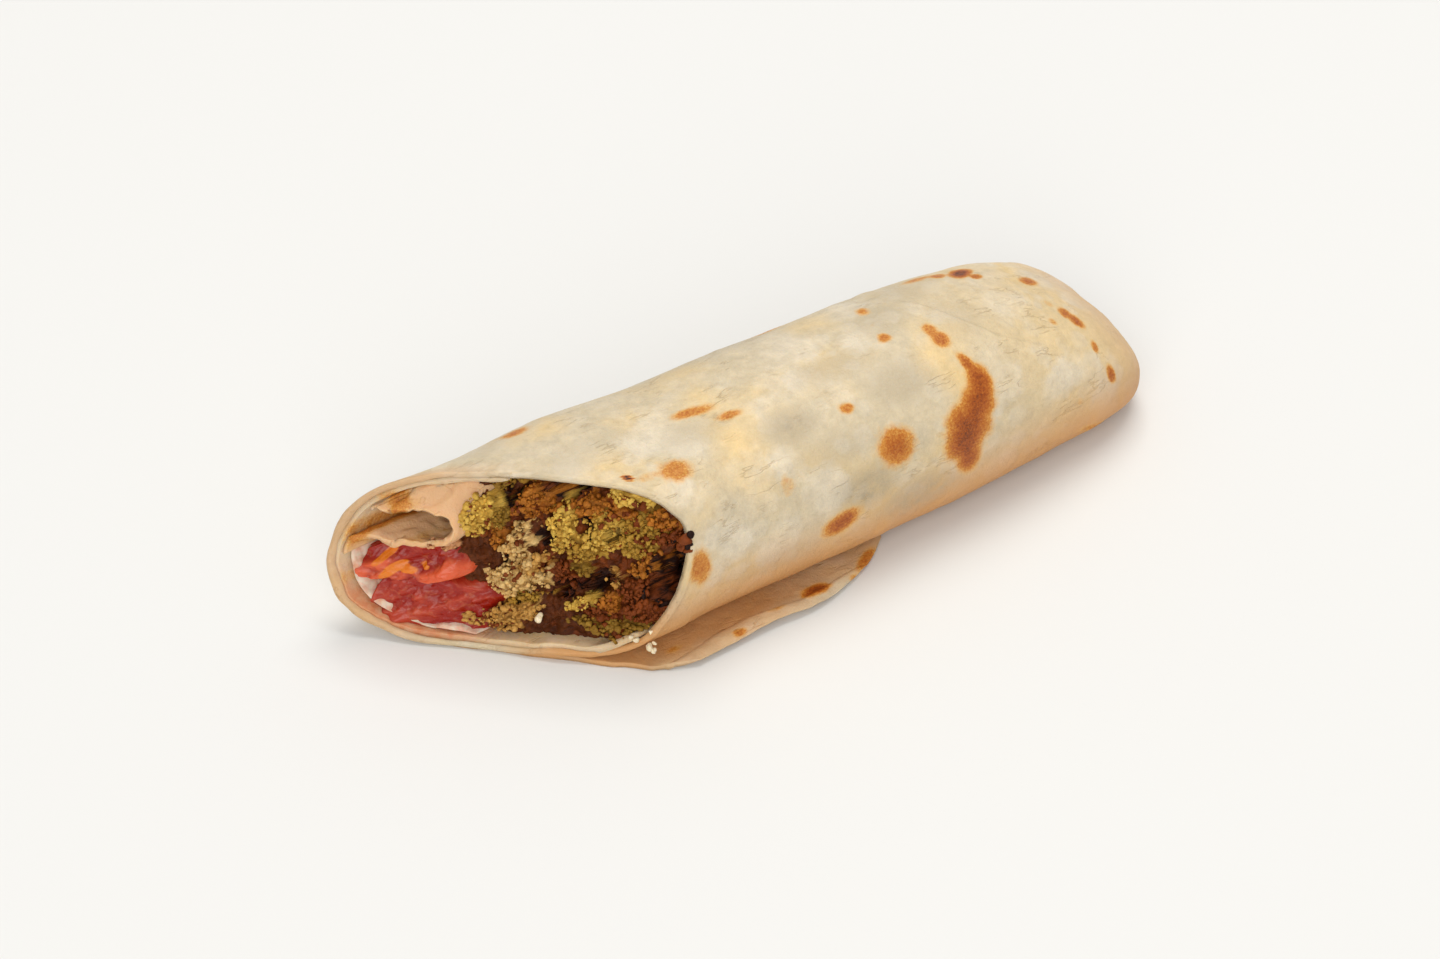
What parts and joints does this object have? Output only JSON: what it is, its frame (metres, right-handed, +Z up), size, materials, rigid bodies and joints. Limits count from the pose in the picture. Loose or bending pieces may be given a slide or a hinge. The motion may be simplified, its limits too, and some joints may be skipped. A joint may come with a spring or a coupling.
{
  "type": "falafel wrap",
  "caption": "Half of a rolled flatbread wrap, cut at a slant, with falafel and tomato showing at the cut and a folded, closed tail.",
  "frame": {"origin": "on the flat underside, halfway along the wrap and halfway across it", "axes": "+X along the roll from the cut end to the closed tail, +Z up, the loose end of the bread on the -Y side"},
  "size_m": [0.1772, 0.0553, 0.0399],
  "materials": {
    "flatbread": "thin griddled flatbread, matte to faintly satin, cream with brown griddle spots",
    "falafel": "crumbled chickpea and herb inside, olive yellow, with a rough dark brown fried crust",
    "tomato": "wet cut tomato flesh with orange gel"
  },
  "bodies": {
    "root": {"flatbread": "flatbread", "falafel_upper_near": "falafel", "falafel_lower_near": "falafel", "falafel_middle": "falafel", "falafel_upper_far": "falafel", "tomato_upper": "tomato", "tomato_lower": "tomato"}
  },
  "joints": []
}
